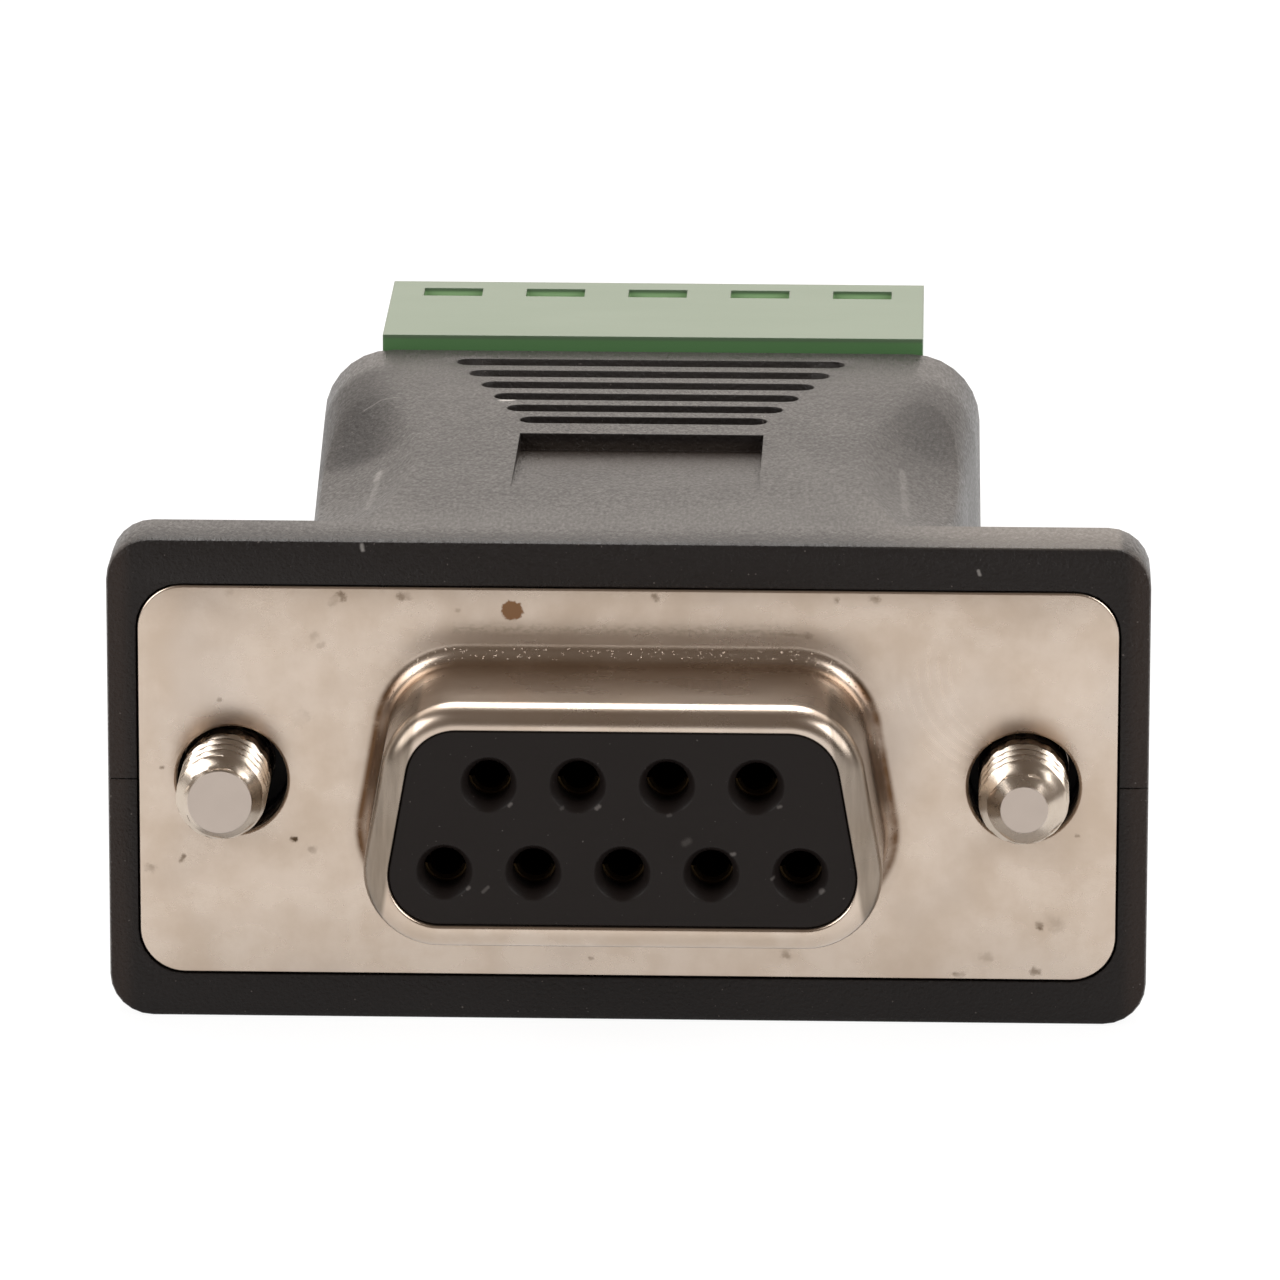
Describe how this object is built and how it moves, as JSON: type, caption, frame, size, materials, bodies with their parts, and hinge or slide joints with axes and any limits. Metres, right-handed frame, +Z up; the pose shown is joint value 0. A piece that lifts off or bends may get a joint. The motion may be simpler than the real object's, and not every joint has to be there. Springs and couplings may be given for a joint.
{
  "type": "d-sub terminal block adapter",
  "caption": "Adapter in a two-part black shell, with a D-shaped socket and captive thumbscrews in front and a green header for pluggable screw terminals behind.",
  "frame": {"origin": "bottom centre of the part's box, on the plane of the flange's lower edge", "axes": "+Z up, the D-shaped socket faces -Y, the terminal header faces +Y, X runs across the flange between the two thumbscrews"},
  "size_m": [0.0328, 0.0402, 0.0158],
  "materials": {
    "housing_plastic": "fine spark-eroded grain, black",
    "insulator_plastic": "smooth moulded, black",
    "nickel_plate": "nickel-plated drawn steel, with brown specks",
    "nickel_screw": "nickel-plated turned steel",
    "contact_metal": "gold-flashed",
    "tinned_pin": "tinned",
    "board_laminate": "solder mask over glass laminate",
    "header_green": "smooth moulded, green"
  },
  "bodies": {
    "adapter": {"top_shell": "housing_plastic", "bottom_shell": "housing_plastic", "dsub_front_shell": "nickel_plate", "dsub_rear_shell": "nickel_plate", "front_insulator": "insulator_plastic", "rear_insulator": "insulator_plastic", "socket_contact_1": "contact_metal", "socket_contact_2": "contact_metal", "socket_contact_3": "contact_metal", "socket_contact_4": "contact_metal", "socket_contact_5": "contact_metal", "socket_contact_6": "contact_metal", "socket_contact_7": "contact_metal", "socket_contact_8": "contact_metal", "socket_contact_9": "contact_metal", "circuit_board": "board_laminate", "header_housing": "header_green", "header_pin_1": "tinned_pin", "header_pin_2": "tinned_pin", "header_pin_3": "tinned_pin", "header_pin_4": "tinned_pin", "header_pin_5": "tinned_pin"},
    "left_screw": {"left_jackscrew": "nickel_screw"},
    "right_screw": {"right_jackscrew": "nickel_screw"}
  },
  "joints": [
    {"name": "left_screw_turn", "type": "hinge", "parent": "adapter", "child": "left_screw", "pos_m": [-0.01272, -0.0147, 0.00783], "axis": [0, 1, 0], "continuous": true},
    {"name": "right_screw_turn", "type": "hinge", "parent": "adapter", "child": "right_screw", "pos_m": [0.01249, -0.0147, 0.00783], "axis": [0, 1, 0], "continuous": true}
  ]
}
